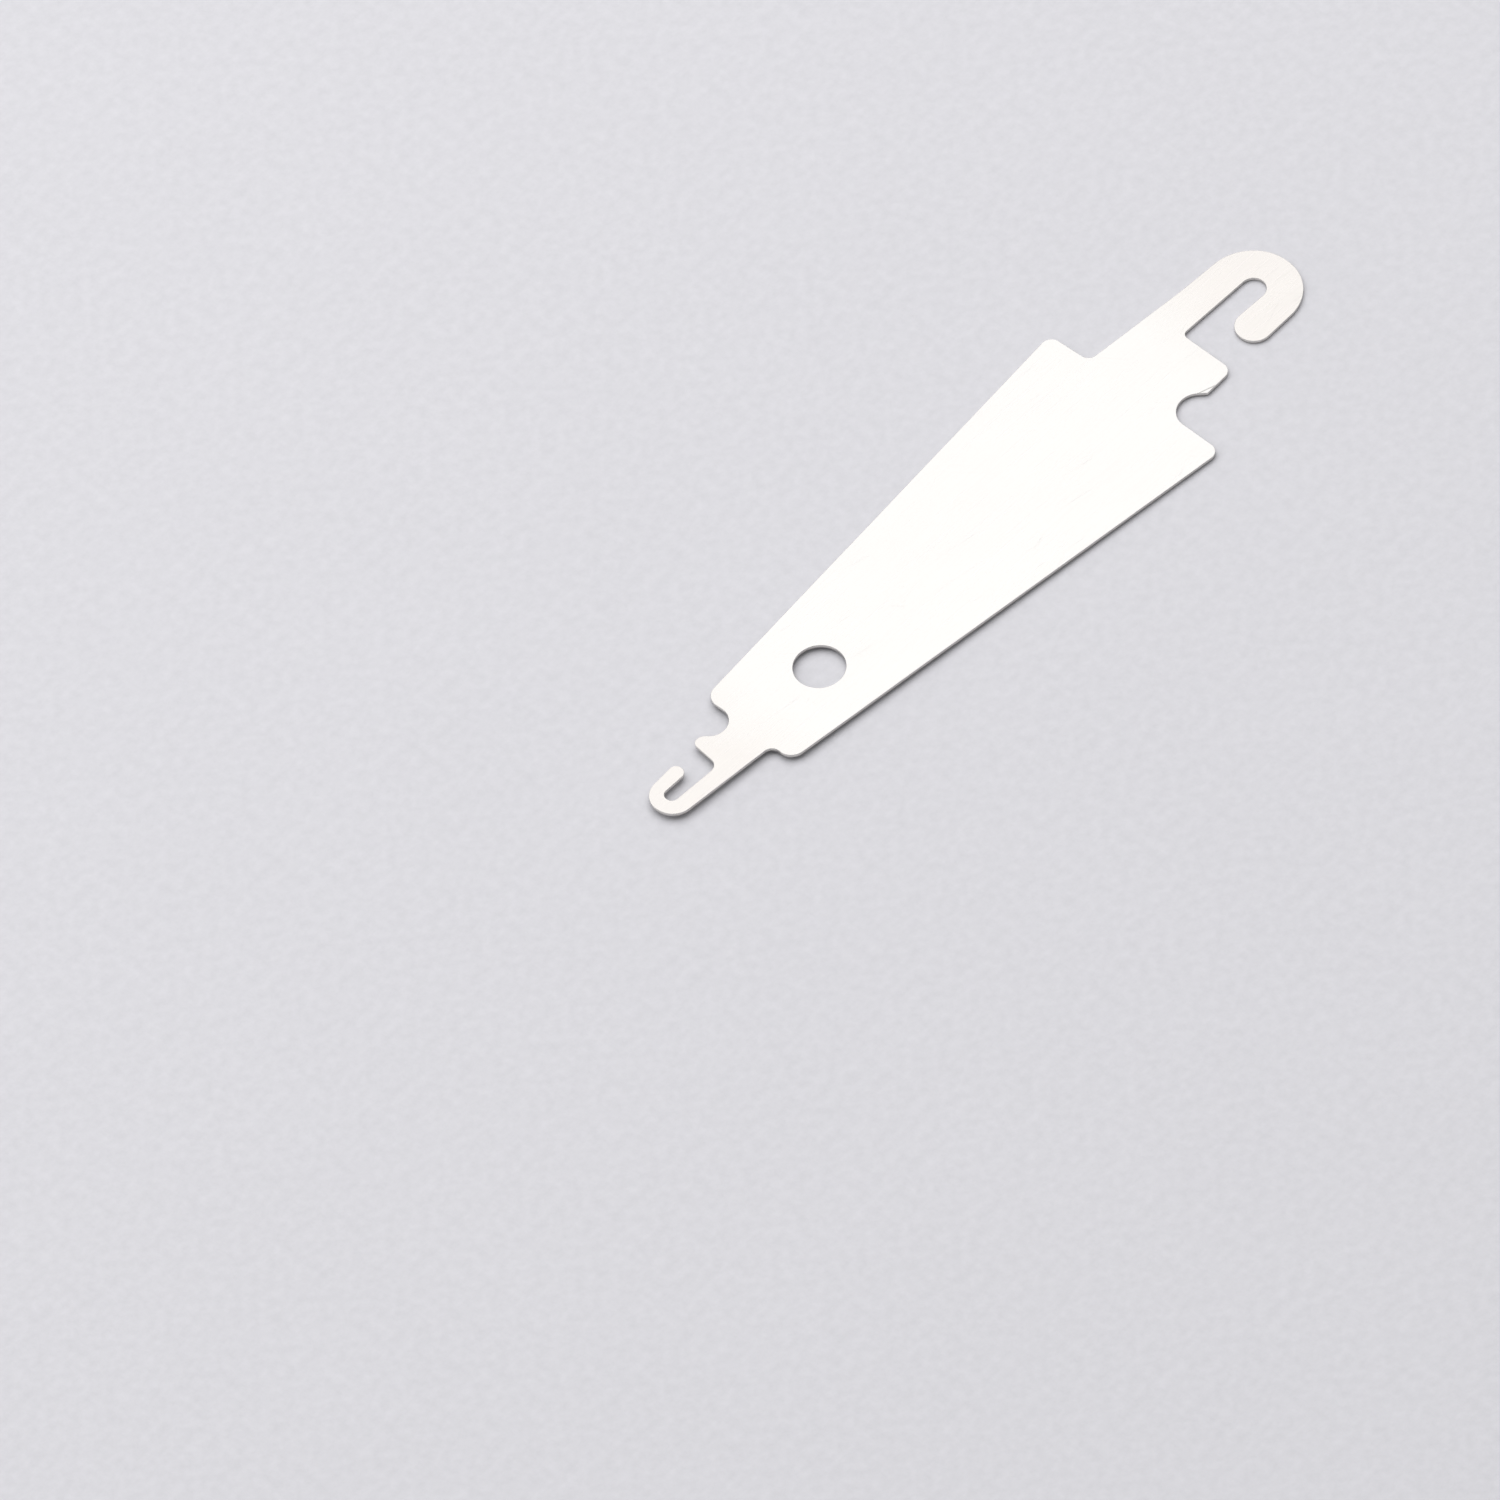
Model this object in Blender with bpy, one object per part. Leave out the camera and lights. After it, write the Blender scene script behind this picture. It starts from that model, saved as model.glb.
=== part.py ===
"""Double-ended flat needle threader.

One stamping of 0.2 mm stainless sheet.  A tapered grip body carries a large
open J-hook on a shank at its wide end and a small open J-hook at its narrow
end.  At the root of each hook stands a square tooth with a round thread notch
behind it, and a hang hole goes through the narrow end of the body.

Frame: metres, +Z up.  The sheet lies flat on Z = 0, +X runs along the long
axis towards the large hook, and the origin is the middle of the footprint on
the underside.
"""
import math

import bmesh
import bpy

# ---------------------------------------------------------------- dimensions
# Millimetres here, metres in the model.
MM = 0.001

LENGTH = 45.0            # over both hooks
THICKNESS = 0.20         # sheet gauge

# Tapered grip body, symmetric about the long axis.
BODY_WIDE_X = 11.60      # wide shoulder
BODY_WIDE_HALF = 5.70    # half width at the wide shoulder (sharp corner)
BODY_NARROW_X = -15.96   # narrow shoulder
BODY_NARROW_HALF = 2.94  # half width at the narrow shoulder (sharp corner)
WIDE_CORNER_R = 0.55
NARROW_CORNER_R = 0.80
SHOULDER_SKEW = 0.12     # the wide shoulders stand this far from the middle
NARROW_SKEW = 0.04       # and the narrow ones this far

# Hang hole.
HOLE_X = -10.87
HOLE_DIAMETER = 2.64

# Large hook.  Its shank leaves the wide shoulder on the +Y side.
SHANK_ROOT_Y = 3.13      # outer edge where it meets the shoulder
SHANK_KNEE_X = 18.0      # outer edge turns parallel to the axis here
SHANK_KNEE_Y = 2.67
SHANK_KNEE_R = 20.0
SHANK_ROOT_R = 0.50
HOOK_END_X = 22.54       # outermost point, before the blank is centred
HOOK_TOP_Y = 2.56        # outer edges at the round end
HOOK_LOW_Y = -2.375
HOOK_TOP_R = 2.55
HOOK_LOW_R = 2.43
HOOK_SKEW = 0.12         # the round end leans back towards its free tip
SLOT_TOP_Y = 0.76        # thread slot inside the hook
SLOT_LOW_Y = -0.58
SLOT_END_X = 20.82
SLOT_END_R = 0.66
TIP_X = 17.55            # rounded free end
TIP_TOP_Y = -0.54
TIP_LOW_Y = -2.555
TIP_R = 0.95

# Tooth and round thread notch under the large hook.
TOOTH_X = 15.79          # face towards the hook
TOOTH_LOW_Y = -2.62
TOOTH_CORNER_R = 0.55
TOOTH_ROOT_R = 0.32      # inside corner with the shank
TOOTH_SPUR_X = 13.94     # sharp spur where the notch flank ends
TOOTH_SPUR_Y = -2.715
NOTCH_FLANK_Y = -0.46    # flank line meets the shoulder line here
NOTCH_R = 1.10

# Small hook.  Its shank leaves the narrow shoulder on the -Y side.
SMALL_SHANK_ROOT_Y = -1.62
SMALL_SHANK_ROOT_R = 0.50
SMALL_HOOK_END_X = -22.44
SMALL_HOOK_TOP_Y = 1.03  # outer edges at the round end
SMALL_HOOK_LOW_Y = -1.18
SMALL_HOOK_END_R = 1.13
SMALL_HOOK_SKEW = 0.12   # the round end leans forward over its free tip
SMALL_SLOT_HALF = 0.375  # thread slot inside the hook
SMALL_SLOT_END_X = -21.67
SMALL_SLOT_END_R = 0.365
SMALL_TIP_X = -19.80
SMALL_TIP_TOP_Y = 1.23
SMALL_TIP_LOW_Y = 0.39
SMALL_TIP_R = 0.38

# Tooth and round thread notch above the small hook.
SMALL_TOOTH_TIP_X = -18.35   # face towards the hook, at the top
SMALL_TOOTH_ROOT_X = -18.53  # and at the shank
SMALL_TOOTH_TOP_Y = 1.50
SMALL_TOOTH_CORNER_R = 0.35
SMALL_TOOTH_ROOT_Y = -0.45
SMALL_TOOTH_ROOT_R = 0.50
SMALL_TOOTH_SPUR_X = -17.75  # top of the notch flank
SMALL_TOOTH_SPUR_Y = 1.42
SMALL_TOOTH_SPUR_R = 0.50
SMALL_NOTCH_FLANK_Y = -1.00  # flank line meets the shoulder line here
SMALL_NOTCH_R = 0.93

ARC_STEP = 0.11          # longest chord on a rounded edge
HOLE_SEGMENTS = 72

STEEL_COLOUR = (0.78, 0.77, 0.75, 1.0)
STEEL_ROUGHNESS = 0.28


# ------------------------------------------------------------------- outline
def outline_corners():
    """Corners of the blank, counter-clockwise seen from +Z: x, y, radius."""
    wide_low_x = BODY_WIDE_X + SHOULDER_SKEW
    wide_top_x = BODY_WIDE_X - SHOULDER_SKEW
    narrow_low_x = BODY_NARROW_X - NARROW_SKEW
    narrow_top_x = BODY_NARROW_X + NARROW_SKEW
    return [
        # lower edge of the body
        (narrow_low_x, -BODY_NARROW_HALF, NARROW_CORNER_R),
        (wide_low_x, -BODY_WIDE_HALF, WIDE_CORNER_R),
        # notch and tooth under the large hook
        (wide_low_x, NOTCH_FLANK_Y, NOTCH_R),
        (TOOTH_SPUR_X, TOOTH_SPUR_Y, 0.0),
        (TOOTH_X, TOOTH_LOW_Y, TOOTH_CORNER_R),
        (TOOTH_X, SLOT_TOP_Y, TOOTH_ROOT_R),
        # slot, free end and round end of the large hook
        (SLOT_END_X, SLOT_TOP_Y, SLOT_END_R),
        (SLOT_END_X, SLOT_LOW_Y, SLOT_END_R),
        (TIP_X, TIP_TOP_Y, TIP_R),
        (TIP_X, TIP_LOW_Y, TIP_R),
        (HOOK_END_X - HOOK_SKEW, HOOK_LOW_Y, HOOK_LOW_R),
        (HOOK_END_X + HOOK_SKEW, HOOK_TOP_Y, HOOK_TOP_R),
        # outer edge of the shank
        (SHANK_KNEE_X, SHANK_KNEE_Y, SHANK_KNEE_R),
        (wide_top_x + SHOULDER_SKEW, SHANK_ROOT_Y, SHANK_ROOT_R),
        # upper edge of the body
        (wide_top_x, BODY_WIDE_HALF, WIDE_CORNER_R),
        (narrow_top_x, BODY_NARROW_HALF, NARROW_CORNER_R),
        # notch and tooth above the small hook
        (narrow_top_x + SHOULDER_SKEW, SMALL_NOTCH_FLANK_Y, SMALL_NOTCH_R),
        (SMALL_TOOTH_SPUR_X, SMALL_TOOTH_SPUR_Y, SMALL_TOOTH_SPUR_R),
        (SMALL_TOOTH_TIP_X, SMALL_TOOTH_TOP_Y, SMALL_TOOTH_CORNER_R),
        (SMALL_TOOTH_ROOT_X, SMALL_TOOTH_ROOT_Y, SMALL_TOOTH_ROOT_R),
        # slot, free end and round end of the small hook
        (SMALL_SLOT_END_X, -SMALL_SLOT_HALF, SMALL_SLOT_END_R),
        (SMALL_SLOT_END_X, SMALL_SLOT_HALF, SMALL_SLOT_END_R),
        (SMALL_TIP_X, SMALL_TIP_LOW_Y, SMALL_TIP_R),
        (SMALL_TIP_X, SMALL_TIP_TOP_Y, SMALL_TIP_R),
        (SMALL_HOOK_END_X - SMALL_HOOK_SKEW, SMALL_HOOK_TOP_Y,
         SMALL_HOOK_END_R),
        (SMALL_HOOK_END_X + SMALL_HOOK_SKEW, SMALL_HOOK_LOW_Y,
         SMALL_HOOK_END_R),
        # outer edge of the small shank
        (narrow_low_x + SHOULDER_SKEW, SMALL_SHANK_ROOT_Y,
         SMALL_SHANK_ROOT_R),
    ]


def rounded(corners, step):
    """Closed polyline through the corners, each one rounded to its radius."""
    points = []
    count = len(corners)
    for i, (x, y, radius) in enumerate(corners):
        if radius <= 0.0:
            points.append((x, y))
            continue
        before, after = corners[i - 1], corners[(i + 1) % count]
        ax, ay = before[0] - x, before[1] - y
        bx, by = after[0] - x, after[1] - y
        la, lb = math.hypot(ax, ay), math.hypot(bx, by)
        ax, ay, bx, by = ax / la, ay / la, bx / lb, by / lb
        angle = math.acos(max(-1.0, min(1.0, ax * bx + ay * by)))
        reach = radius / math.tan(angle / 2)
        mx, my = ax + bx, ay + by
        lm = math.hypot(mx, my)
        away = radius / math.sin(angle / 2)
        cx, cy = x + mx / lm * away, y + my / lm * away
        start = math.atan2(y + ay * reach - cy, x + ax * reach - cx)
        stop = math.atan2(y + by * reach - cy, x + bx * reach - cx)
        sweep = (stop - start + math.pi) % (2 * math.pi) - math.pi
        parts = max(3, math.ceil(abs(sweep) * radius / step))
        for k in range(parts + 1):
            a = start + sweep * k / parts
            points.append((cx + radius * math.cos(a),
                           cy + radius * math.sin(a)))
    # drop points that fall on top of each other where two radii meet
    kept = []
    for p in points:
        if not kept or math.dist(p, kept[-1]) > 0.01:
            kept.append(p)
    if math.dist(kept[0], kept[-1]) <= 0.01:
        kept.pop()
    return kept


def footprint():
    """Outer loop and hole loop in millimetres, centred on the footprint."""
    outer = rounded(outline_corners(), ARC_STEP)
    xs = [p[0] for p in outer]
    ys = [p[1] for p in outer]
    mx = (min(xs) + max(xs)) / 2
    my = (min(ys) + max(ys)) / 2
    fit = LENGTH / (max(xs) - min(xs))   # the leaning round ends lose microns
    outer = [((x - mx) * fit, (y - my) * fit) for x, y in outer]
    hole = []
    for k in range(HOLE_SEGMENTS):
        a = 2 * math.pi * k / HOLE_SEGMENTS
        hole.append((HOLE_X - mx + HOLE_DIAMETER / 2 * math.cos(a),
                     -my + HOLE_DIAMETER / 2 * math.sin(a)))
    return outer, hole


# --------------------------------------------------------------------- build
def clear_objects():
    for obj in list(bpy.data.objects):
        bpy.data.objects.remove(obj, do_unlink=True)


def steel():
    mat = bpy.data.materials.new("stainless_sheet")
    mat.use_nodes = True
    shader = mat.node_tree.nodes["Principled BSDF"]
    shader.inputs["Base Color"].default_value = STEEL_COLOUR
    shader.inputs["Metallic"].default_value = 1.0
    shader.inputs["Roughness"].default_value = STEEL_ROUGHNESS
    mat.diffuse_color = STEEL_COLOUR
    return mat


def make_plate():
    """The blank: both loops filled, then extruded to the sheet gauge."""
    outer, hole = footprint()
    bm = bmesh.new()
    edges = []
    for loop in (outer, hole):
        ring = [bm.verts.new((x * MM, y * MM, 0.0)) for x, y in loop]
        for i, v in enumerate(ring):
            edges.append(bm.edges.new((v, ring[(i + 1) % len(ring)])))
    bmesh.ops.triangle_fill(bm, use_beauty=True, use_dissolve=False,
                            edges=edges, normal=(0.0, 0.0, 1.0))
    result = bmesh.ops.extrude_face_region(bm, geom=bm.faces[:])
    top = [g for g in result["geom"] if isinstance(g, bmesh.types.BMVert)]
    bmesh.ops.translate(bm, verts=top, vec=(0.0, 0.0, THICKNESS * MM))
    bmesh.ops.recalc_face_normals(bm, faces=bm.faces[:])
    mesh = bpy.data.meshes.new("threader_plate")
    bm.to_mesh(mesh)
    bm.free()
    mesh.shade_smooth()
    mesh.set_sharp_from_angle(angle=math.radians(30.0))
    mesh.materials.append(steel())
    plate = bpy.data.objects.new("threader_plate", mesh)
    bpy.context.scene.collection.objects.link(plate)
    return plate


clear_objects()
make_plate()
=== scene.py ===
"""Looks of the double-ended flat needle threader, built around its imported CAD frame.

The CAD plate is one plain prism.  Here it is replaced by the same stamping with
its real blanked edge: die roll on the upper rim, burnished band, torn band and
a dull lower rim, on a sheet that is very slightly wavy, in rolled stainless.
"""
import math

import bpy
import numpy as np
from mathutils import Matrix, Vector, noise
from mathutils.geometry import delaunay_2d_cdt


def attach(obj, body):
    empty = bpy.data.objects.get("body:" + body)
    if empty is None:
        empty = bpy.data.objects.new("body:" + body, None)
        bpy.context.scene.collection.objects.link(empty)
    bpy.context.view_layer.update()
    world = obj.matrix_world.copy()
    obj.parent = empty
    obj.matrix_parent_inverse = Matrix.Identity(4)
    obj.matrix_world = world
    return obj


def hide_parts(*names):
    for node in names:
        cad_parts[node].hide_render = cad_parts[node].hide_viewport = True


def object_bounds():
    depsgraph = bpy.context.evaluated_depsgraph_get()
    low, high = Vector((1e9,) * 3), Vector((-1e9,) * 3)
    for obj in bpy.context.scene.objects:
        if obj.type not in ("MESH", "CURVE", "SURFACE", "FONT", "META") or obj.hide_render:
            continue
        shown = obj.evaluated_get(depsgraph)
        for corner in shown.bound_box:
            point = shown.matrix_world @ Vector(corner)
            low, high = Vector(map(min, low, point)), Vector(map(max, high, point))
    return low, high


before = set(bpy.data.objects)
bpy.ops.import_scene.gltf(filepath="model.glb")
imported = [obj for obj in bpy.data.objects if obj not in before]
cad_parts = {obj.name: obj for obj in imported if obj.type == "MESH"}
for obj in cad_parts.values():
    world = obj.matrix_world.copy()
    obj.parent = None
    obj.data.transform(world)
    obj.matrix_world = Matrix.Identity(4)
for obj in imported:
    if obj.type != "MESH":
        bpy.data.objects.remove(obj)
CAD_LO, CAD_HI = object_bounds()

MM = 0.001
LENGTH = (CAD_HI.x - CAD_LO.x) / MM
T = (CAD_HI.z - CAD_LO.z) / MM          # sheet gauge

# ------------------------------------------------------------------ outline
# The same driving dimensions as the CAD blank, in millimetres.
BODY_WIDE_X, BODY_WIDE_HALF = 11.60, 5.70
BODY_NARROW_X, BODY_NARROW_HALF = -15.96, 2.94
WIDE_CORNER_R, NARROW_CORNER_R = 0.55, 0.80
SHOULDER_SKEW, NARROW_SKEW = 0.12, 0.04
HOLE_X, HOLE_DIAMETER = -10.87, 2.64
SHANK_ROOT_Y, SHANK_ROOT_R = 3.13, 0.50
SHANK_KNEE_X, SHANK_KNEE_Y, SHANK_KNEE_R = 18.0, 2.67, 20.0
HOOK_END_X, HOOK_TOP_Y, HOOK_LOW_Y = 22.54, 2.56, -2.375
HOOK_TOP_R, HOOK_LOW_R, HOOK_SKEW = 2.55, 2.43, 0.12
SLOT_TOP_Y, SLOT_LOW_Y, SLOT_END_X, SLOT_END_R = 0.76, -0.58, 20.82, 0.66
TIP_X, TIP_TOP_Y, TIP_LOW_Y, TIP_R = 17.55, -0.54, -2.555, 0.95
TOOTH_X, TOOTH_LOW_Y, TOOTH_CORNER_R, TOOTH_ROOT_R = 15.79, -2.62, 0.55, 0.32
TOOTH_SPUR_X, TOOTH_SPUR_Y = 13.94, -2.715
NOTCH_FLANK_Y, NOTCH_R = -0.46, 1.10
SMALL_SHANK_ROOT_Y, SMALL_SHANK_ROOT_R = -1.62, 0.50
SMALL_HOOK_END_X, SMALL_HOOK_TOP_Y, SMALL_HOOK_LOW_Y = -22.44, 1.03, -1.18
SMALL_HOOK_END_R, SMALL_HOOK_SKEW = 1.13, 0.12
SMALL_SLOT_HALF, SMALL_SLOT_END_X, SMALL_SLOT_END_R = 0.375, -21.67, 0.365
SMALL_TIP_X, SMALL_TIP_TOP_Y, SMALL_TIP_LOW_Y, SMALL_TIP_R = -19.80, 1.23, 0.39, 0.38
SMALL_TOOTH_TIP_X, SMALL_TOOTH_ROOT_X = -18.35, -18.53
SMALL_TOOTH_TOP_Y, SMALL_TOOTH_CORNER_R = 1.50, 0.35
SMALL_TOOTH_ROOT_Y, SMALL_TOOTH_ROOT_R = -0.45, 0.50
SMALL_TOOTH_SPUR_X, SMALL_TOOTH_SPUR_Y, SMALL_TOOTH_SPUR_R = -17.75, 1.42, 0.50
SMALL_NOTCH_FLANK_Y, SMALL_NOTCH_R = -1.00, 0.93
SPUR_R = 0.10            # a blanked corner is never perfectly sharp


def outline_corners():
    """Corners of the blank, counter-clockwise seen from +Z: x, y, radius."""
    wide_low_x = BODY_WIDE_X + SHOULDER_SKEW
    wide_top_x = BODY_WIDE_X - SHOULDER_SKEW
    narrow_low_x = BODY_NARROW_X - NARROW_SKEW
    narrow_top_x = BODY_NARROW_X + NARROW_SKEW
    return [
        (narrow_low_x, -BODY_NARROW_HALF, NARROW_CORNER_R),
        (wide_low_x, -BODY_WIDE_HALF, WIDE_CORNER_R),
        (wide_low_x, NOTCH_FLANK_Y, NOTCH_R),
        (TOOTH_SPUR_X, TOOTH_SPUR_Y, SPUR_R),
        (TOOTH_X, TOOTH_LOW_Y, TOOTH_CORNER_R),
        (TOOTH_X, SLOT_TOP_Y, TOOTH_ROOT_R),
        (SLOT_END_X, SLOT_TOP_Y, SLOT_END_R),
        (SLOT_END_X, SLOT_LOW_Y, SLOT_END_R),
        (TIP_X, TIP_TOP_Y, TIP_R),
        (TIP_X, TIP_LOW_Y, TIP_R),
        (HOOK_END_X - HOOK_SKEW, HOOK_LOW_Y, HOOK_LOW_R),
        (HOOK_END_X + HOOK_SKEW, HOOK_TOP_Y, HOOK_TOP_R),
        (SHANK_KNEE_X, SHANK_KNEE_Y, SHANK_KNEE_R),
        (wide_top_x + SHOULDER_SKEW, SHANK_ROOT_Y, SHANK_ROOT_R),
        (wide_top_x, BODY_WIDE_HALF, WIDE_CORNER_R),
        (narrow_top_x, BODY_NARROW_HALF, NARROW_CORNER_R),
        (narrow_top_x + SHOULDER_SKEW, SMALL_NOTCH_FLANK_Y, SMALL_NOTCH_R),
        (SMALL_TOOTH_SPUR_X, SMALL_TOOTH_SPUR_Y, SMALL_TOOTH_SPUR_R),
        (SMALL_TOOTH_TIP_X, SMALL_TOOTH_TOP_Y, SMALL_TOOTH_CORNER_R),
        (SMALL_TOOTH_ROOT_X, SMALL_TOOTH_ROOT_Y, SMALL_TOOTH_ROOT_R),
        (SMALL_SLOT_END_X, -SMALL_SLOT_HALF, SMALL_SLOT_END_R),
        (SMALL_SLOT_END_X, SMALL_SLOT_HALF, SMALL_SLOT_END_R),
        (SMALL_TIP_X, SMALL_TIP_LOW_Y, SMALL_TIP_R),
        (SMALL_TIP_X, SMALL_TIP_TOP_Y, SMALL_TIP_R),
        (SMALL_HOOK_END_X - SMALL_HOOK_SKEW, SMALL_HOOK_TOP_Y, SMALL_HOOK_END_R),
        (SMALL_HOOK_END_X + SMALL_HOOK_SKEW, SMALL_HOOK_LOW_Y, SMALL_HOOK_END_R),
        (narrow_low_x + SHOULDER_SKEW, SMALL_SHANK_ROOT_Y, SMALL_SHANK_ROOT_R),
    ]


def rounded(corners, chord, run):
    """Closed polyline through the corners: arcs in chords of at most `chord`,
    straight runs in steps of at most `run`."""
    pts = []
    count = len(corners)
    for i, (x, y, radius) in enumerate(corners):
        before, after = corners[i - 1], corners[(i + 1) % count]
        a = np.array([before[0] - x, before[1] - y])
        b = np.array([after[0] - x, after[1] - y])
        a /= np.hypot(*a)
        b /= np.hypot(*b)
        angle = math.acos(max(-1.0, min(1.0, float(a @ b))))
        reach = radius / math.tan(angle / 2)
        m = (a + b) / np.hypot(*(a + b))
        c = np.array([x, y]) + m * radius / math.sin(angle / 2)
        p0 = np.array([x, y]) + a * reach - c
        p1 = np.array([x, y]) + b * reach - c
        start, stop = math.atan2(p0[1], p0[0]), math.atan2(p1[1], p1[0])
        sweep = (stop - start + math.pi) % (2 * math.pi) - math.pi
        step = min(chord, radius * 0.12)
        parts = max(4, math.ceil(abs(sweep) * radius / step))
        for k in range(parts + 1):
            q = start + sweep * k / parts
            pts.append((c[0] + radius * math.cos(q), c[1] + radius * math.sin(q)))
    kept = []
    for p in pts:
        if not kept or math.dist(p, kept[-1]) > 0.004:
            kept.append(p)
    if math.dist(kept[0], kept[-1]) <= 0.004:
        kept.pop()
    out = []
    for i, p in enumerate(kept):
        q = kept[(i + 1) % len(kept)]
        parts = max(1, math.ceil(math.dist(p, q) / run))
        for k in range(parts):
            f = k / parts
            out.append((p[0] + (q[0] - p[0]) * f, p[1] + (q[1] - p[1]) * f))
    return np.array(out)


outer = rounded(outline_corners(), 0.055, 0.22)
mid = (outer.min(0) + outer.max(0)) / 2
fit = LENGTH / (outer[:, 0].max() - outer[:, 0].min())
outer = (outer - mid) * fit
hole_r = HOLE_DIAMETER / 2
hole_c = np.array([HOLE_X, 0.0]) - mid
HOLE_N = 160
ang = -2 * np.pi * np.arange(HOLE_N) / HOLE_N        # clockwise: steel on the left
hole = hole_c + hole_r * np.c_[np.cos(ang), np.sin(ang)]


def outward(loop):
    """Unit direction away from the steel at each point, and its mitre factor."""
    e = np.roll(loop, -1, 0) - loop
    e /= np.linalg.norm(e, axis=1)[:, None]
    n = np.c_[e[:, 1], -e[:, 0]]
    prev = np.roll(n, 1, 0)
    s = n + prev
    s /= np.linalg.norm(s, axis=1)[:, None]
    return s, 1.0 / np.clip((s * n).sum(1), 0.5, 1.0)


# ------------------------------------------------------------- sheet surface
# A stamping this thin is never dead flat: a few microns of ripple, and the
# spur behind the large tooth is nicked up by a hair along a short crease.
RIPPLES = ((0.0030, 9.5, 0.20, 0.3), (0.0022, 6.1, 1.05, 1.9), (0.0016, 4.3, 2.30, 4.0),
           (0.0010, 2.9, 0.75, 5.2), (0.0008, 2.3, 1.80, 0.9))
CREASE_A = np.array([13.67, -2.380])
CREASE_B = np.array([14.42, -2.625])
CREASE_DIR = (CREASE_B - CREASE_A) / np.linalg.norm(CREASE_B - CREASE_A)
CREASE_N = np.array([CREASE_DIR[1], -CREASE_DIR[0]])     # towards the spur tip
if CREASE_N @ (np.array([TOOTH_SPUR_X, TOOTH_SPUR_Y]) - CREASE_A) < 0:
    CREASE_N = -CREASE_N
CREASE_W, CREASE_RISE = 0.06, 0.010


def ripple(p):
    z = np.zeros(len(p))
    g = np.zeros((len(p), 2))
    for amp, wave, turn, phase in RIPPLES:
        k = 2 * np.pi / wave
        d = np.array([math.cos(turn), math.sin(turn)])
        t = k * (p @ d) + phase
        z += amp * np.sin(t)
        g += (amp * k * np.cos(t))[:, None] * d
    return z, g


RIPPLE_FLOOR = sum(r[0] for r in RIPPLES)


def sheet_height(p):
    """Lift of the whole sheet and its slope, millimetres, never below the rest plane."""
    z, g = ripple(p)
    return z + RIPPLE_FLOOR, g


def top_dent(p):
    """Extra height of the upper face and its slope: the crease at the spur."""
    s = (p - CREASE_A) @ CREASE_N
    near = ((p[:, 0] > 13.0) & (p[:, 0] < 15.2) & (p[:, 1] < -1.6)).astype(float)
    u = np.clip(s / CREASE_W, 0, 1)
    z = CREASE_RISE * u * u * (3 - 2 * u)
    g = (CREASE_RISE * 6 * u * (1 - u) / CREASE_W * near)[:, None] * CREASE_N
    tail = np.clip(s - CREASE_W, 0, None)
    z = z - 0.03 * tail
    g = g - (0.03 * (s > CREASE_W) * near)[:, None] * CREASE_N
    return z * near, g


# ------------------------------------------------------------- edge section
ROLL_IN, ROLL_DOWN = 0.014, 0.013        # die roll on the upper rim
BURNISH_Z = 0.090                        # burnished above, torn below
LOW_IN, LOW_UP = 0.014, 0.012            # dull lower rim


def section():
    """Rings from the upper face down: inset, height, horizontal part of the
    normal, roughness of the tear, material."""
    rings = []
    steps = 6
    for k in range(steps + 1):
        a = math.pi / 2 * k / steps
        rings.append((ROLL_IN * (1 - math.sin(a)), T - ROLL_DOWN * (1 - math.cos(a)), a, 0.0, 0))
    rings.append((0.0, 0.142, math.pi / 2, 0.0, 1))
    rings.append((0.0, BURNISH_Z + 0.012, math.pi / 2, 0.15, 1))
    rings.append((0.003, BURNISH_Z - 0.012, math.pi / 2, 1.0, 1))
    rings.append((0.005, 0.058, math.pi / 2, 1.0, 1))
    rings.append((0.007, 0.036, math.pi / 2, 1.0, 1))
    rings.append((0.008, LOW_UP, math.pi / 2, 0.7, 1))
    for k in (1, 2):
        a = math.pi / 4 * k
        rings.append((0.008 + LOW_IN * (1 - math.cos(a)), LOW_UP * (1 - math.sin(a)), math.pi / 2 + a, 0.2, 1))
    return rings


RINGS = section()
verts, normals, faces, mats = [], [], [], []


def add_ring(loop, out, mitre, ring, seed):
    inset, z, tilt, tear, _ = ring
    d = np.full(len(loop), inset)
    if tear:
        for i, (x, y) in enumerate(loop):
            d[i] += tear * 0.0035 * (noise.noise(Vector((x * 9.0 + seed, y * 9.0, z * 14.0))) + 0.25)
    p = loop - out * (d * mitre)[:, None]
    h, g = sheet_height(p)
    dent, dg = top_dent(p)
    share = z / T
    first = len(verts)
    zz = z + h + dent * share
    up, flat = math.cos(tilt), math.sin(tilt)
    for i in range(len(p)):
        verts.append((p[i, 0], p[i, 1], zz[i]))
        slope = g[i] + dg[i] * share
        n = np.array([out[i, 0] * flat - slope[0] * up, out[i, 1] * flat - slope[1] * up, up])
        normals.append(n / np.linalg.norm(n))
    return list(range(first, len(verts)))


def add_wall(loop, seed):
    out, mitre = outward(loop)
    ids = [add_ring(loop, out, mitre, r, seed) for r in RINGS]
    n = len(loop)
    for k in range(len(RINGS) - 1):
        a, b = ids[k], ids[k + 1]
        for i in range(n):
            j = (i + 1) % n
            faces.append((a[i], b[i], b[j], a[j]))
            mats.append(RINGS[k + 1][4])
    return ids[0], ids[-1]


def inside(p, loop):
    """Even-odd test of points against a closed loop."""
    x, y = p[:, 0][:, None], p[:, 1][:, None]
    a, b = loop, np.roll(loop, -1, 0)
    cross = (a[None, :, 1] > y) != (b[None, :, 1] > y)
    with np.errstate(divide="ignore", invalid="ignore"):
        xi = (b[None, :, 0] - a[None, :, 0]) * (y - a[None, :, 1]) / (b[None, :, 1] - a[None, :, 1]) + a[None, :, 0]
    return (cross & (x < xi)).sum(1) % 2 == 1


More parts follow.
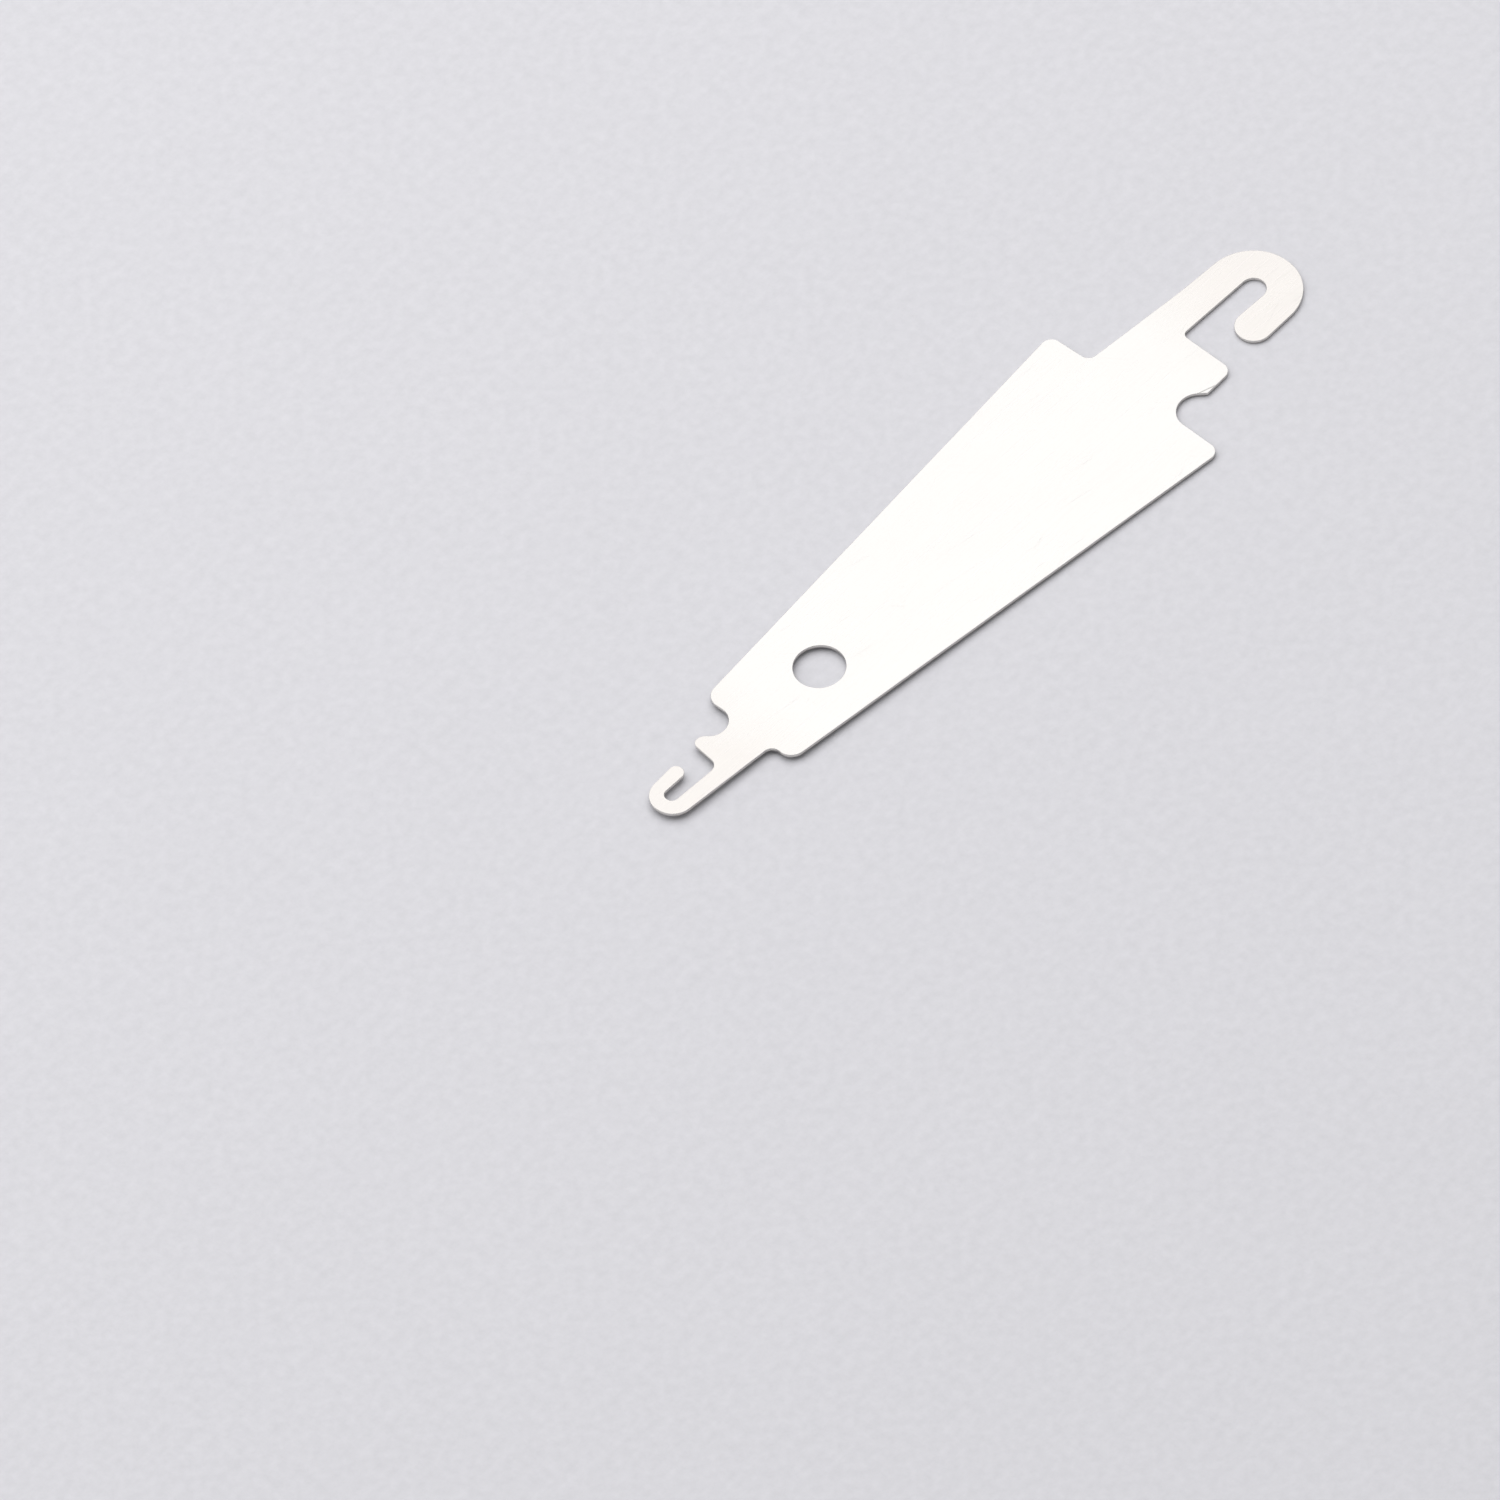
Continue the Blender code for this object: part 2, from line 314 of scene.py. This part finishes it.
def clearance(p, loop):
    """Distance from points to the nearest point of a finely stepped loop."""
    best = np.full(len(p), 1e9)
    for i in range(0, len(loop), 256):
        d = np.linalg.norm(p[:, None] - loop[None, i:i + 256], axis=2).min(1)
        best = np.minimum(best, d)
    return best


def grid(spacing):
    xs = np.arange(-22.6, 22.6, spacing)
    ys = np.arange(-5.8, 5.8, spacing * 0.866)
    pts = []
    for r, y in enumerate(ys):
        for x in xs:
            pts.append((x + (spacing / 2 if r % 2 else 0.0), y))
    return np.array(pts)


def cap(ids_outer, ids_hole, spacing, up, extra=None):
    """Fills one face of the sheet between the outer rim and the hole's rim."""
    rim_o = np.array([verts[i][:2] for i in ids_outer])
    rim_h = np.array([verts[i][:2] for i in ids_hole])
    pts = grid(spacing)
    if extra is not None:
        pts = pts[~extra[1](pts)]
        pts = np.r_[pts, extra[0]]
    keep = inside(pts, rim_o) & ~inside(pts, rim_h)
    pts = pts[keep]
    room = np.minimum(clearance(pts, rim_o), clearance(pts, rim_h))
    pts = pts[room > (0.12 if extra is None else np.where(extra[1](pts), 0.03, 0.12))]
    no, nh = len(rim_o), len(rim_h)
    flat = [Vector(map(float, p)) for p in np.r_[rim_o, rim_h, pts]]
    edges = [(i, (i + 1) % no) for i in range(no)]
    edges += [(no + i, no + (i + 1) % nh) for i in range(nh)]
    out = delaunay_2d_cdt(flat, edges, [], 0, 1e-7)
    co, tris, origin = out[0], out[2], out[3]
    first = len(verts)
    h, g = sheet_height(pts)
    if up:
        dent, dg = top_dent(pts)
        h, g = h + dent + T, g + dg
    for i in range(len(pts)):
        verts.append((pts[i, 0], pts[i, 1], h[i]))
        n = np.array([-g[i, 0], -g[i, 1], 1.0])
        n /= np.linalg.norm(n)
        normals.append(n if up else -n)
    index = []
    for o in origin:
        k = min(o)
        index.append(ids_outer[k] if k < no else ids_hole[k - no] if k < no + nh else first + k - no - nh)
    co = np.array([tuple(c) for c in co])
    tri = np.array([t for t in tris if len(t) == 3])
    # the steel is everything reached from the middle without crossing a rim
    first_in = [min(o) for o in origin]
    rims = {frozenset(e) for e in edges}
    owners = {}
    for t, (a, b, c) in enumerate(tri):
        for e in ((a, b), (b, c), (c, a)):
            owners.setdefault(frozenset((first_in[e[0]], first_in[e[1]])), []).append(t)
    neighbours = [[] for _ in tri]
    for e, ts in owners.items():
        if e not in rims and len(ts) == 2:
            neighbours[ts[0]].append(ts[1])
            neighbours[ts[1]].append(ts[0])
    start = int(np.argmin(np.abs(co[tri].mean(1)).sum(1)))
    reached, queue = {start}, [start]
    while queue:
        for t in neighbours[queue.pop()]:
            if t not in reached:
                reached.add(t)
                queue.append(t)
    for a, b, c in tri[sorted(reached)]:
        p, q, r = co[a], co[b], co[c]
        area = (q[0] - p[0]) * (r[1] - p[1]) - (q[1] - p[1]) * (r[0] - p[0])
        a, b, c = index[a], index[b], index[c]
        if (area < 0) == up:
            b, c = c, b
        faces.append((a, b, c))
        mats.append(0)


top_o, low_o = add_wall(outer, 0.0)
top_h, low_h = add_wall(hole, 31.0)


def near_crease(p):
    s = (p - CREASE_A) @ CREASE_N
    t = (p - CREASE_A) @ CREASE_DIR
    return (s > -0.15) & (s < 0.75) & (t > -0.4) & (t < 1.6)


fine = []
for s in np.r_[np.linspace(-0.12, 0.0, 3), np.linspace(0.015, CREASE_W + 0.02, 7), np.arange(0.18, 0.74, 0.09)]:
    step = 0.07 if s < 0.13 else 0.09
    for t in np.arange(-0.38, 1.58, step):
        fine.append(CREASE_A + CREASE_N * s + CREASE_DIR * (t + (step / 2 if int(round(s * 100)) % 2 else 0.0)))
cap(top_o, top_h, 0.50, True, (np.array(fine), near_crease))
cap(low_o, low_h, 0.70, False)

mesh = bpy.data.meshes.new("threader_sheet")
mesh.from_pydata([(x * MM, y * MM, z * MM) for x, y, z in verts], [], faces)
mesh.polygons.foreach_set("material_index", mats)
mesh.polygons.foreach_set("use_smooth", [True] * len(faces))
mesh.update()
mesh.normals_split_custom_set_from_vertices([tuple(map(float, n)) for n in normals])
plate = bpy.data.objects.new("threader_sheet", mesh)
bpy.context.scene.collection.objects.link(plate)
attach(plate, "root")
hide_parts("threader_plate")


# ---------------------------------------------------------------- materials
def new_material(name):
    mat = bpy.data.materials.new(name)
    mat.use_nodes = True
    nt = mat.node_tree
    return mat, nt, nt.nodes["Principled BSDF"]


def node(nt, kind, **values):
    n = nt.nodes.new(kind)
    for k, v in values.items():
        if hasattr(n, k):
            setattr(n, k, v)
        else:
            n.inputs[k].default_value = v
    return n


def mapped(nt, scale, turn=0.0, shift=(0.0, 0.0, 0.0)):
    """Object coordinates in millimetres times `scale`, turned about Z."""
    tc = node(nt, "ShaderNodeTexCoord")
    a = node(nt, "ShaderNodeMapping")
    a.inputs["Scale"].default_value = (1000.0, 1000.0, 1000.0)
    a.inputs["Rotation"].default_value = (0.0, 0.0, turn)
    a.inputs["Location"].default_value = shift
    nt.links.new(tc.outputs["Object"], a.inputs["Vector"])
    b = node(nt, "ShaderNodeMapping")
    b.inputs["Scale"].default_value = scale
    nt.links.new(a.outputs["Vector"], b.inputs["Vector"])
    return b.outputs["Vector"]


def noise_tex(nt, vector, scale=1.0, detail=2.0, rough=0.5):
    n = node(nt, "ShaderNodeTexNoise")
    n.inputs["Scale"].default_value = scale
    n.inputs["Detail"].default_value = detail
    n.inputs["Roughness"].default_value = rough
    nt.links.new(vector, n.inputs["Vector"])
    return n.outputs["Fac"]


def ramp(nt, fac, *stops):
    r = node(nt, "ShaderNodeValToRGB")
    els = r.color_ramp.elements
    while len(els) < len(stops):
        els.new(0.5)
    for e, (pos, val) in zip(els, stops):
        e.position = pos
        e.color = (*val, 1.0) if isinstance(val, tuple) else (val, val, val, 1.0)
    nt.links.new(fac, r.inputs["Fac"])
    return r.outputs["Color"]


def maths(nt, op, a, b=None, c=None):
    m = node(nt, "ShaderNodeMath", operation=op)
    for i, v in enumerate((a, b, c)):
        if v is None:
            continue
        if isinstance(v, (int, float)):
            m.inputs[i].default_value = v
        else:
            nt.links.new(v, m.inputs[i])
    return m.outputs[0]


def mix_colour(nt, fac, a, b, blend="MIX"):
    m = node(nt, "ShaderNodeMix", data_type="RGBA", blend_type=blend)
    for sock, v in ((m.inputs[0], fac), (m.inputs[6], a), (m.inputs[7], b)):
        if isinstance(v, (int, float)):
            sock.default_value = v
        elif isinstance(v, tuple):
            sock.default_value = (*v, 1.0)
        else:
            nt.links.new(v, sock)
    return m.outputs[2]


def bump(nt, height, distance, before=None):
    b = node(nt, "ShaderNodeBump")
    b.inputs["Strength"].default_value = 1.0
    b.inputs["Distance"].default_value = distance
    nt.links.new(height, b.inputs["Height"])
    if before is not None:
        nt.links.new(before, b.inputs["Normal"])
    return b.outputs["Normal"]


def sheet_face():
    """Bright cold-rolled stainless: rolling grain along the length, sparse
    hairline handling marks, slightly warmer and duller towards both hooks."""
    mat, nt, sh = new_material("rolled_stainless")
    sh.inputs["Metallic"].default_value = 1.0
    grain = noise_tex(nt, mapped(nt, (0.14, 11.0, 3.0)), 1.0, 3.0, 0.62)
    grain_fine = noise_tex(nt, mapped(nt, (0.40, 36.0, 3.0), 0.0, (5.0, 3.0, 0.0)), 1.0, 2.0, 0.6)
    cloud = noise_tex(nt, mapped(nt, (0.16, 0.30, 0.3), 0.0, (2.0, 7.0, 1.0)), 1.0, 3.0, 0.55)
    pits = noise_tex(nt, mapped(nt, (9.0, 9.0, 9.0)), 1.0, 2.0, 0.5)
    # hairlines: a thin band of a stretched noise at a few angles, broken up
    marks = None
    for turn, shift, keep in ((0.13, (3.0, 1.0, 0.0), 0.62), (-0.34, (9.0, 4.0, 0.0), 0.66), (0.88, (1.0, 8.0, 0.0), 0.70)):
        lines = noise_tex(nt, mapped(nt, (0.05, 4.0, 1.0), turn, shift), 1.0, 0.0, 0.5)
        gate = noise_tex(nt, mapped(nt, (0.35, 0.8, 1.0), turn, shift), 1.0, 0.0, 0.5)
        thin = ramp(nt, lines, (0.0, 0.0), (0.492, 0.0), (0.5, 1.0), (0.508, 0.0))
        open_ = ramp(nt, gate, (0.0, 0.0), (keep - 0.05, 0.0), (keep, 1.0))
        one = maths(nt, "MULTIPLY", thin, open_)
        marks = one if marks is None else maths(nt, "MAXIMUM", marks, one)
    # towards the hooks the base colour turns slightly darker and warmer and the roughness rises
    tc = node(nt, "ShaderNodeTexCoord")
    sep = node(nt, "ShaderNodeSeparateXYZ")
    nt.links.new(tc.outputs["Object"], sep.inputs[0])
    reach = maths(nt, "ABSOLUTE", maths(nt, "MULTIPLY", sep.outputs["X"], 1000.0))
    toward_hooks = maths(nt, "MULTIPLY_ADD", cloud, 6.0, reach)
    ends = ramp(nt, maths(nt, "MULTIPLY", toward_hooks, 0.04), (0.0, 0.0), (0.665, 0.0), (0.85, 1.0))
    base = mix_colour(nt, ends, (0.520, 0.509, 0.497), (0.523, 0.502, 0.483))
    tone = ramp(nt, grain, (0.35, 0.945), (0.65, 1.0))
    base = mix_colour(nt, 1.0, base, tone, "MULTIPLY")
    mottle = ramp(nt, cloud, (0.35, 0.975), (0.65, 1.0))
    base = mix_colour(nt, 1.0, base, mottle, "MULTIPLY")
    nt.links.new(base, sh.inputs["Base Color"])
    rough = maths(nt, "MULTIPLY_ADD", grain, 0.20, 0.11)
    rough = maths(nt, "MULTIPLY_ADD", cloud, 0.07, rough)
    rough = maths(nt, "MULTIPLY_ADD", ends, 0.05, rough)
    rough = maths(nt, "MULTIPLY_ADD", marks, 0.08, rough)
    nt.links.new(rough, sh.inputs["Roughness"])
    height = maths(nt, "MULTIPLY_ADD", grain_fine, 0.35, grain)
    height = maths(nt, "MULTIPLY_ADD", pits, 0.06, height)
    nt.links.new(bump(nt, height, 0.0000032), sh.inputs["Normal"])
    return mat


def sheared_edge():
    """Blanked edge: drawn streaks on the burnished band, dull grains below."""
    mat, nt, sh = new_material("blanked_edge")
    sh.inputs["Metallic"].default_value = 1.0
    tc = node(nt, "ShaderNodeTexCoord")
    sep = node(nt, "ShaderNodeSeparateXYZ")
    nt.links.new(tc.outputs["Object"], sep.inputs[0])
    z = maths(nt, "MULTIPLY", sep.outputs["Z"], 1000.0)
    streak = noise_tex(nt, mapped(nt, (26.0, 26.0, 1.6)), 1.0, 2.0, 0.6)
    grains = noise_tex(nt, mapped(nt, (30.0, 30.0, 30.0), 0.0, (4.0, 2.0, 0.0)), 1.0, 2.0, 0.6)
    wander = noise_tex(nt, mapped(nt, (1.6, 1.6, 0.5)), 1.0, 2.0, 0.5)
    line = maths(nt, "MULTIPLY_ADD", wander, 0.06, z)
    torn = ramp(nt, maths(nt, "MULTIPLY", line, 2.0), (0.0, 1.0), (0.21, 1.0), (0.27, 0.0))
    shiny = ramp(nt, streak, (0.3, (0.68, 0.662, 0.637)), (0.7, (0.77, 0.750, 0.724)))
    dull = ramp(nt, grains, (0.3, (0.50, 0.481, 0.459)), (0.7, (0.62, 0.600, 0.575)))
    nt.links.new(mix_colour(nt, torn, shiny, dull), sh.inputs["Base Color"])
    rough = maths(nt, "MULTIPLY_ADD", torn, 0.24, 0.16)
    rough = maths(nt, "MULTIPLY_ADD", streak, 0.10, rough)
    nt.links.new(rough, sh.inputs["Roughness"])
    h = maths(nt, "MULTIPLY", grains, torn)
    h = maths(nt, "MULTIPLY_ADD", streak, 0.5, h)
    nt.links.new(bump(nt, h, 0.0000040), sh.inputs["Normal"])
    return mat


plate.data.materials.append(sheet_face())
plate.data.materials.append(sheared_edge())


# -------------------------------------------------------------------- stage
def floor_material():
    """Matt pale paper with a barely visible tooth."""
    mat, nt, sh = new_material("pale_paper")
    fibres = noise_tex(nt, mapped(nt, (1.7, 1.7, 1.7)), 1.0, 4.0, 0.65)
    patch = noise_tex(nt, mapped(nt, (0.10, 0.10, 0.10)), 1.0, 2.0, 0.5)
    c = ramp(nt, fibres, (0.30, (0.752, 0.746, 0.782)), (0.70, (0.816, 0.808, 0.848)))
    c = mix_colour(nt, 1.0, c, ramp(nt, patch, (0.3, 0.992), (0.7, 1.0)), "MULTIPLY")
    nt.links.new(c, sh.inputs["Base Color"])
    sh.inputs["Roughness"].default_value = 0.9
    sh.inputs["Specular IOR Level"].default_value = 0.1
    nt.links.new(bump(nt, fibres, 0.000014), sh.inputs["Normal"])
    return mat


FLOOR_SLOPE = 0.0056
half = 4.0
fm = bpy.data.meshes.new("floor")
fm.from_pydata([(-half, -half, 0), (half, -half, 0), (half, half, 0), (-half, half, 0)], [], [(0, 1, 2, 3)])
floor = bpy.data.objects.new("floor", fm)
# it slopes away by a hair towards the small hook, whose end stands slightly proud
floor.rotation_euler.y = -FLOOR_SLOPE
floor.location.z = -(0.002 + FLOOR_SLOPE * 22.5) * MM
fm.materials.append(floor_material())
bpy.context.scene.collection.objects.link(floor)


# ------------------------------------------------------------------- camera
AZ, EL, ROLL = math.radians(-41.05), math.radians(51.89), math.radians(6.50)
LENS, DISTANCE = 1000.0, 2.0433
OFF_X, OFF_Y = 223.15 / 20.4007, 216.61 / 20.4007    # plate centre from the frame's middle, mm

back = Vector((math.sin(AZ) * math.cos(EL), -math.cos(AZ) * math.cos(EL), math.sin(EL)))
level = Vector((math.cos(AZ), math.sin(AZ), 0.0))
upright = back.cross(level)
right = math.cos(ROLL) * level - math.sin(ROLL) * upright
up = math.sin(ROLL) * level + math.cos(ROLL) * upright
cam_data = bpy.data.cameras.new("camera")
cam_data.sensor_width = 36.0
cam_data.lens = LENS
cam_data.clip_start, cam_data.clip_end = 0.1, 12.0
cam = bpy.data.objects.new("camera", cam_data)
bpy.context.scene.collection.objects.link(cam)
aim = Vector((0.0, 0.0, T * MM)) - (right * OFF_X + up * OFF_Y) * MM
m = Matrix((right, up, back)).transposed().to_4x4()
m.translation = aim + back * DISTANCE
cam.matrix_world = m
bpy.context.scene.camera = cam


# ------------------------------------------------------------------- lights
def softbox(name, azimuth, elevation, distance, width, height, radiance, colour=(1, 1, 1)):
    """A rectangular area light that faces the plate, given its radiance."""
    a, e = math.radians(azimuth), math.radians(elevation)
    d = Vector((math.sin(a) * math.cos(e), -math.cos(a) * math.cos(e), math.sin(e)))
    data = bpy.data.lights.new(name, "AREA")
    data.shape = "RECTANGLE"
    data.size, data.size_y = width, height
    data.energy = radiance * math.pi * width * height
    data.color = colour
    ob = bpy.data.objects.new(name, data)
    ob.location = d * distance
    ob.rotation_mode = "QUATERNION"
    ob.rotation_quaternion = d.to_track_quat("Z", "Y")
    bpy.context.scene.collection.objects.link(ob)
    return ob


softbox("key_softbox", 152.0, 67.5, 0.50, 0.60, 0.54, 1.72)
softbox("left_card", 229.0, 40.0, 0.36, 0.20, 0.20, 1.2)

world = bpy.data.worlds.new("studio")
bpy.context.scene.world = world
world.use_nodes = True
wn = world.node_tree
bg = wn.nodes["Background"]
# the room is bright behind the softbox and dim on the camera's side
wtc = node(wn, "ShaderNodeTexCoord")
toward = node(wn, "ShaderNodeVectorMath", operation="DOT_PRODUCT")
wn.links.new(wtc.outputs["Generated"], toward.inputs[0])
toward.inputs[1].default_value = (0.354, 0.612, 0.707)
side = maths(wn, "MULTIPLY_ADD", toward.outputs["Value"], 0.5, 0.5)
sky = ramp(wn, side, (0.0, 0.19), (0.35, 0.27), (0.60, 0.38), (0.85, 0.44), (1.0, 0.44))
wn.links.new(sky, bg.inputs["Color"])
bg.inputs["Strength"].default_value = 1.0

bpy.context.scene.view_settings.view_transform = "Standard"
bpy.context.scene.view_settings.look = "None"
bpy.context.scene.view_settings.exposure = 0.0
bpy.context.scene.view_settings.gamma = 1.0
